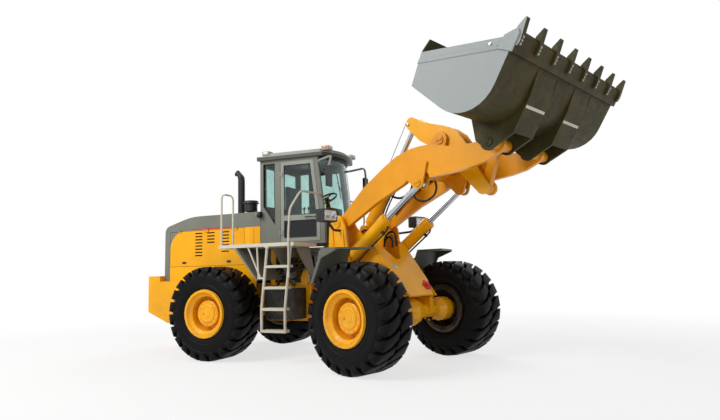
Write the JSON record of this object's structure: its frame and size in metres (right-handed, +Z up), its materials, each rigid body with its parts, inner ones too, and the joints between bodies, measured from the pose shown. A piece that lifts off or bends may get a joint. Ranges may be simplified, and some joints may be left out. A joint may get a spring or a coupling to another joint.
{
  "type": "articulated wheel loader",
  "caption": "Articulated front-end wheel loader with a hinged frame, enclosed cab, side platforms and ladders, and a Z-bar linkage that lifts and tips a wide toothed bucket.",
  "frame": {"origin": "middle of the base of the bounding box, on the ground", "axes": "+X forward along the rear frame, +Y to the machine's left, +Z up; the front frame is parked turned 19 degrees to the right"},
  "size_m": [8.4875, 4.3129, 4.198],
  "materials": {
    "yellow_paint": "gloss enamel, worn",
    "grey_paint": "satin enamel",
    "roof_paint": "satin enamel",
    "step_steel": "satin enamel, scuffed",
    "black_paint": "matt black",
    "black_plastic": "moulded",
    "vinyl": "grained vinyl",
    "chrome_rod": "hard chrome",
    "bucket_paint": "worn olive paint over steel",
    "tyre": "new rubber"
  },
  "bodies": {
    "chassis": {"rear_frame": "yellow_paint", "engine": "black_paint", "transmission": "black_paint", "counterweight": "yellow_paint", "hood": "grey_paint", "exhaust_pipe": "black_paint", "air_intake": "black_plastic", "cab_shell": "grey_paint", "cab_roof": "roof_paint", "seat": "vinyl", "steering_wheel": "black_plastic", "rear_axle": "yellow_paint", "right_platform": "grey_paint", "right_tank": "black_paint", "right_ladder": "step_steel", "right_front_handrail": "step_steel", "right_mirror": "black_paint", "left_platform": "grey_paint", "left_tank": "black_paint", "left_ladder": "step_steel", "left_front_handrail": "step_steel", "left_mirror": "black_paint"},
    "front_chassis": {"front_frame": "yellow_paint", "front_axle": "yellow_paint", "right_front_fender": "grey_paint", "right_headlamp": "black_plastic", "left_front_fender": "grey_paint", "left_headlamp": "black_plastic"},
    "boom": {"boom": "yellow_paint"},
    "rocker": {"rocker": "yellow_paint"},
    "bucket_link": {"bucket_link": "yellow_paint"},
    "bucket": {"bucket": "bucket_paint", "cutting_edge": "bucket_paint"},
    "tilt_barrel": {"tilt_barrel": "yellow_paint"},
    "tilt_rod": {"tilt_rod": "chrome_rod"},
    "radiator_door": {"radiator_door": "grey_paint"},
    "right_lift_barrel": {"right_lift_barrel": "yellow_paint"},
    "right_lift_rod": {"right_lift_rod": "chrome_rod"},
    "right_steering_barrel": {"right_steering_barrel": "yellow_paint"},
    "right_steering_rod": {"right_steering_rod": "chrome_rod"},
    "right_cab_door": {"right_cab_door": "grey_paint"},
    "right_engine_panel": {"right_engine_panel": "yellow_paint"},
    "front_right_wheel": {"right_front_tyre": "tyre", "right_front_rim": "yellow_paint"},
    "rear_right_wheel": {"right_rear_tyre": "tyre", "right_rear_rim": "yellow_paint"},
    "left_lift_barrel": {"left_lift_barrel": "yellow_paint"},
    "left_lift_rod": {"left_lift_rod": "chrome_rod"},
    "left_steering_barrel": {"left_steering_barrel": "yellow_paint"},
    "left_steering_rod": {"left_steering_rod": "chrome_rod"},
    "left_cab_door": {"left_cab_door": "grey_paint"},
    "left_engine_panel": {"left_engine_panel": "yellow_paint"},
    "front_left_wheel": {"left_front_tyre": "tyre", "left_front_rim": "yellow_paint"},
    "rear_left_wheel": {"left_rear_tyre": "tyre", "left_rear_rim": "yellow_paint"}
  },
  "joints": [
    {"name": "articulation", "type": "hinge", "parent": "chassis", "child": "front_chassis", "pos_m": [-0.57298, 0.74097, 0.895], "axis": [0, 0, 1], "range_deg": [-16, 54]},
    {"name": "boom_lift", "type": "hinge", "parent": "front_chassis", "child": "boom", "pos_m": [0.17398, 0.48377, 2.17], "axis": [-0.3256, -0.9455, 0], "range_deg": [-55.8, 25.5]},
    {"name": "bucket_tilt", "type": "hinge", "parent": "boom", "child": "bucket", "pos_m": [2.84099, -0.43455, 2.96286], "axis": [0.3256, 0.9455, 0], "range_deg": [-6, 122]},
    {"name": "rocker_pivot", "type": "hinge", "parent": "boom", "child": "rocker", "pos_m": [1.76768, -0.06498, 3.28365], "axis": [0.3256, 0.9455, 0], "range_deg": [-30.28, 2.44]},
    {"name": "link_pivot", "type": "hinge", "parent": "rocker", "child": "bucket_link", "pos_m": [2.37339, -0.27354, 2.50929], "axis": [0.3256, 0.9455, 0], "range_deg": [-3.7, 55.9]},
    {"name": "right_lift_barrel_pivot", "type": "hinge", "parent": "front_chassis", "child": "right_lift_barrel", "pos_m": [-0.08041, 0.02141, 1.45], "axis": [-0.3256, -0.9455, 0], "range_deg": [-47.39, 22.2]},
    {"name": "right_lift_rod_slide", "type": "slide", "parent": "right_lift_barrel", "child": "right_lift_rod", "axis": [0.7725, -0.266, 0.5766], "range_m": [-0.6009, 0.2855]},
    {"name": "left_lift_barrel_pivot", "type": "hinge", "parent": "front_chassis", "child": "left_lift_barrel", "pos_m": [0.25818, 1.00474, 1.45], "axis": [-0.3256, -0.9455, 0], "range_deg": [-47.39, 22.2]},
    {"name": "left_lift_rod_slide", "type": "slide", "parent": "left_lift_barrel", "child": "left_lift_rod", "axis": [0.7725, -0.266, 0.5766], "range_m": [-0.6009, 0.2855]},
    {"name": "tilt_barrel_pivot", "type": "hinge", "parent": "front_chassis", "child": "tilt_barrel", "pos_m": [0.24016, 0.46098, 2.075], "axis": [-0.3256, -0.9455, 0], "range_deg": [-56.57, 26.4]},
    {"name": "tilt_rod_slide", "type": "slide", "parent": "tilt_barrel", "child": "tilt_rod", "axis": [0.5256, -0.181, 0.8312], "range_m": [-0.3492, 0.0362]},
    {"name": "right_steering_barrel_pivot", "type": "hinge", "parent": "chassis", "child": "right_steering_barrel", "pos_m": [-1.27298, 0.47597, 0.895], "axis": [0, 0, 1], "range_deg": [-3.53, 9.55]},
    {"name": "right_steering_rod_slide", "type": "slide", "parent": "right_steering_barrel", "child": "right_steering_rod", "axis": [0.999, -0.0455, 0], "range_m": [-0.0913, 0.2607]},
    {"name": "left_steering_barrel_pivot", "type": "hinge", "parent": "chassis", "child": "left_steering_barrel", "pos_m": [-1.27298, 1.00597, 0.895], "axis": [0, 0, 1], "range_deg": [-3.53, 9.54]},
    {"name": "left_steering_rod_slide", "type": "slide", "parent": "left_steering_barrel", "child": "left_steering_rod", "axis": [0.9977, -0.068, 0], "range_m": [-0.2608, 0.0914]},
    {"name": "front_right_wheel", "type": "hinge", "parent": "front_chassis", "child": "front_right_wheel", "pos_m": [0.63814, -0.87116, 0.772], "axis": [0.3256, 0.9455, 0], "continuous": true},
    {"name": "rear_right_wheel", "type": "hinge", "parent": "chassis", "child": "rear_right_wheel", "pos_m": [-2.24298, -0.38903, 0.772], "axis": [0, 1, 0], "continuous": true},
    {"name": "right_cab_door_hinge", "type": "hinge", "parent": "chassis", "child": "right_cab_door", "pos_m": [-1.272, 0.11908, 2.6], "axis": [0, 0, -1], "range_deg": [0, 95]},
    {"name": "right_engine_panel_hinge", "type": "hinge", "parent": "chassis", "child": "right_engine_panel", "pos_m": [-2.83698, 0.08867, 2.225], "axis": [-1, 0, 0], "range_deg": [0, 70]},
    {"name": "front_left_wheel", "type": "hinge", "parent": "front_chassis", "child": "front_left_wheel", "pos_m": [1.37393, 1.26571, 0.772], "axis": [0.3256, 0.9455, 0], "continuous": true},
    {"name": "rear_left_wheel", "type": "hinge", "parent": "chassis", "child": "rear_left_wheel", "pos_m": [-2.24298, 1.87097, 0.772], "axis": [0, 1, 0], "continuous": true},
    {"name": "left_cab_door_hinge", "type": "hinge", "parent": "chassis", "child": "left_cab_door", "pos_m": [-1.272, 1.36286, 2.6], "axis": [0, 0, 1], "range_deg": [0, 95]},
    {"name": "left_engine_panel_hinge", "type": "hinge", "parent": "chassis", "child": "left_engine_panel", "pos_m": [-2.83698, 1.39327, 2.225], "axis": [1, 0, 0], "range_deg": [0, 70]},
    {"name": "radiator_door_hinge", "type": "hinge", "parent": "chassis", "child": "radiator_door", "pos_m": [-3.85328, 1.23497, 1.76], "axis": [0, 0, -1], "range_deg": [0, 100]}
  ],
  "couplings": [
    {"joint": "rocker_pivot", "follows": "bucket_tilt", "ratio": -0.24},
    {"joint": "link_pivot", "follows": "bucket_tilt", "ratio": 0.45},
    {"joint": "right_lift_barrel_pivot", "follows": "boom_lift", "ratio": 0.8313},
    {"joint": "right_lift_rod_slide", "follows": "boom_lift", "m_per_rad": 0.5965},
    {"joint": "left_lift_barrel_pivot", "follows": "boom_lift", "ratio": 0.8313},
    {"joint": "left_lift_rod_slide", "follows": "boom_lift", "m_per_rad": 0.5965},
    {"joint": "tilt_barrel_pivot", "follows": "boom_lift", "ratio": 0.996},
    {"joint": "tilt_rod_slide", "follows": "bucket_tilt", "m_per_rad": -0.1546},
    {"joint": "right_steering_barrel_pivot", "follows": "articulation", "ratio": 0.1584},
    {"joint": "right_steering_rod_slide", "follows": "articulation", "m_per_rad": 0.2554},
    {"joint": "left_steering_barrel_pivot", "follows": "articulation", "ratio": 0.1581},
    {"joint": "left_steering_rod_slide", "follows": "articulation", "m_per_rad": -0.2555}
  ]
}
